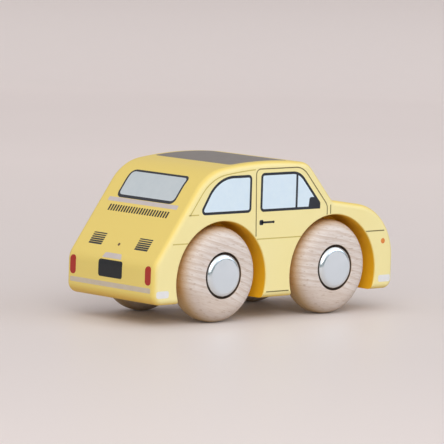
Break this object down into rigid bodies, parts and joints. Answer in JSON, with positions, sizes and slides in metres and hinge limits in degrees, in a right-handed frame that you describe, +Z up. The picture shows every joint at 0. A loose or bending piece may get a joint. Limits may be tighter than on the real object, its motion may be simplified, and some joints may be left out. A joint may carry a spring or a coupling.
{
  "type": "toy car",
  "caption": "Chunky wooden push-along saloon car with a printed, satin painted body and free-rolling turned wood wheels on steel axles held by push-on caps.",
  "frame": {"origin": "on the ground, under the middle of the whole car", "axes": "+X points forward to the nose, +Y to the car's left, +Z up"},
  "size_m": [0.1182, 0.0534, 0.0581],
  "materials": {
    "painted_wood": "satin yellow paint over sanded wood",
    "bare_wood": "turned and sanded, clear matt lacquer",
    "axle_steel": "drawn, bright zinc plate",
    "cap_steel": "pressed, bright zinc plate",
    "ink_roof": "matt printed ink",
    "ink_glass": "satin printed ink",
    "ink_dark": "satin printed ink",
    "ink_silver": "satin printed ink",
    "ink_white": "satin printed ink",
    "ink_red": "satin printed ink",
    "ink_amber": "satin printed ink",
    "ink_line": "satin printed ink"
  },
  "bodies": {
    "car_body": {"wood_body": "painted_wood", "roof_panel": "ink_roof", "rear_window_glass": "ink_glass", "rear_window_frame": "ink_dark", "rear_strip": "ink_silver", "vent_slots": "ink_dark", "engine_louvres": "ink_dark", "lid_lock": "ink_line", "plate_lamp": "ink_silver", "rear_plate": "ink_dark", "rear_bumper": "ink_silver", "front_bumper": "ink_silver", "windscreen_glass": "ink_glass", "windscreen_frame": "ink_dark", "left_tail_lamp": "ink_red", "left_headlamp": "ink_white", "left_headlamp_ring": "ink_silver", "left_quarter_glass": "ink_glass", "left_quarter_frame": "ink_dark", "left_door_glass": "ink_glass", "left_door_frame": "ink_dark", "left_mirror": "ink_dark", "left_handle": "ink_dark", "left_door_line": "ink_line", "left_panel_lines": "ink_line", "left_bumper_ends": "ink_white", "left_indicator": "ink_amber", "right_tail_lamp": "ink_red", "right_headlamp": "ink_white", "right_headlamp_ring": "ink_silver", "right_quarter_glass": "ink_glass", "right_quarter_frame": "ink_dark", "right_door_glass": "ink_glass", "right_door_frame": "ink_dark", "right_mirror": "ink_dark", "right_handle": "ink_dark", "right_door_line": "ink_line", "right_panel_lines": "ink_line", "right_bumper_ends": "ink_white", "right_indicator": "ink_amber"},
    "rear_axle_set": {"rear_axle": "axle_steel", "rear_left_cap": "cap_steel", "rear_right_cap": "cap_steel"},
    "front_axle_set": {"front_axle": "axle_steel", "front_left_cap": "cap_steel", "front_right_cap": "cap_steel"},
    "wheel_rear_left": {"rear_left_wheel": "bare_wood"},
    "wheel_rear_right": {"rear_right_wheel": "bare_wood"},
    "wheel_front_left": {"front_left_wheel": "bare_wood"},
    "wheel_front_right": {"front_right_wheel": "bare_wood"}
  },
  "joints": [
    {"name": "rear_axle_turn", "type": "hinge", "parent": "car_body", "child": "rear_axle_set", "pos_m": [-0.027, 0, 0.0175], "axis": [0, 1, 0], "continuous": true},
    {"name": "front_axle_turn", "type": "hinge", "parent": "car_body", "child": "front_axle_set", "pos_m": [0.028, 0, 0.0175], "axis": [0, 1, 0], "continuous": true},
    {"name": "rear_left_wheel_turn", "type": "hinge", "parent": "rear_axle_set", "child": "wheel_rear_left", "pos_m": [-0.027, 0.0192, 0.0175], "axis": [0, 1, 0], "continuous": true},
    {"name": "rear_right_wheel_turn", "type": "hinge", "parent": "rear_axle_set", "child": "wheel_rear_right", "pos_m": [-0.027, -0.0192, 0.0175], "axis": [0, 1, 0], "continuous": true},
    {"name": "front_left_wheel_turn", "type": "hinge", "parent": "front_axle_set", "child": "wheel_front_left", "pos_m": [0.028, 0.0192, 0.0175], "axis": [0, 1, 0], "continuous": true},
    {"name": "front_right_wheel_turn", "type": "hinge", "parent": "front_axle_set", "child": "wheel_front_right", "pos_m": [0.028, -0.0192, 0.0175], "axis": [0, 1, 0], "continuous": true}
  ]
}
